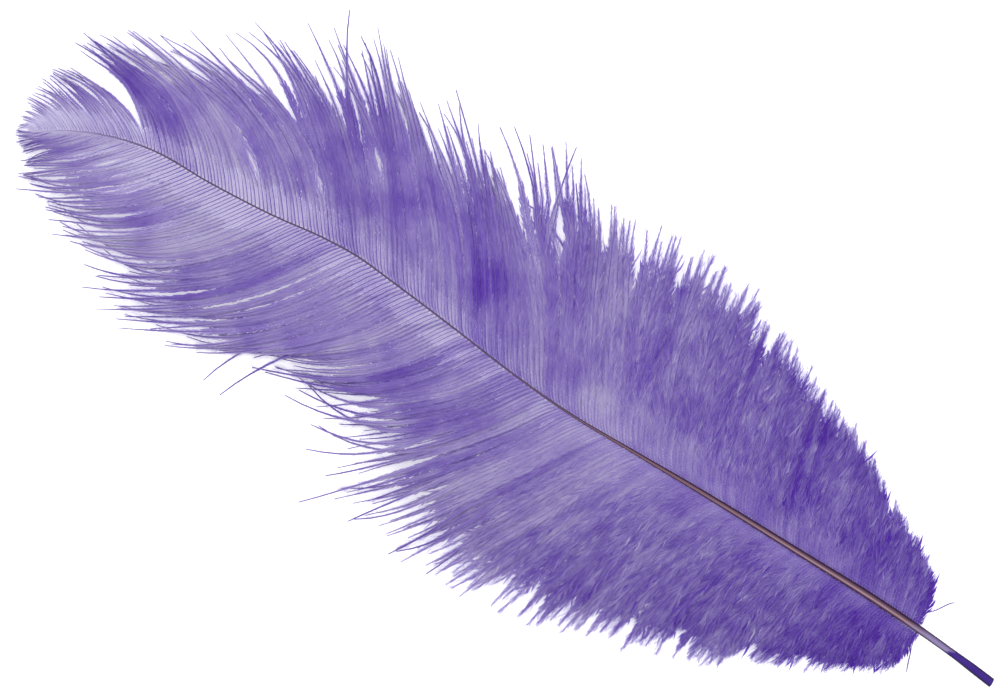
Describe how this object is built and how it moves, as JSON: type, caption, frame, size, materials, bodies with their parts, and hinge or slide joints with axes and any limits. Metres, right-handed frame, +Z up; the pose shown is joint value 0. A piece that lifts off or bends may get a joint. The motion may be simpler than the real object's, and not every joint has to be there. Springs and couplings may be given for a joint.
{
  "type": "ostrich feather",
  "caption": "Dyed violet ostrich plume lying flat: a curved, tapering shaft with a cut quill and a soft, drooping vane of barb locks on each side.",
  "frame": {"origin": "centre of the bounding box's bottom face, on the surface that the feather lies on", "axes": "+X along the feather from its tip towards the cut quill, +Y towards its right-hand vane, +Z up from the surface"},
  "size_m": [0.3397, 0.1353, 0.0096],
  "materials": {
    "shaft": "satin",
    "barbs": "matte"
  },
  "bodies": {
    "root": {"shaft": "shaft", "right_vane": "barbs", "left_vane": "barbs"}
  },
  "joints": []
}
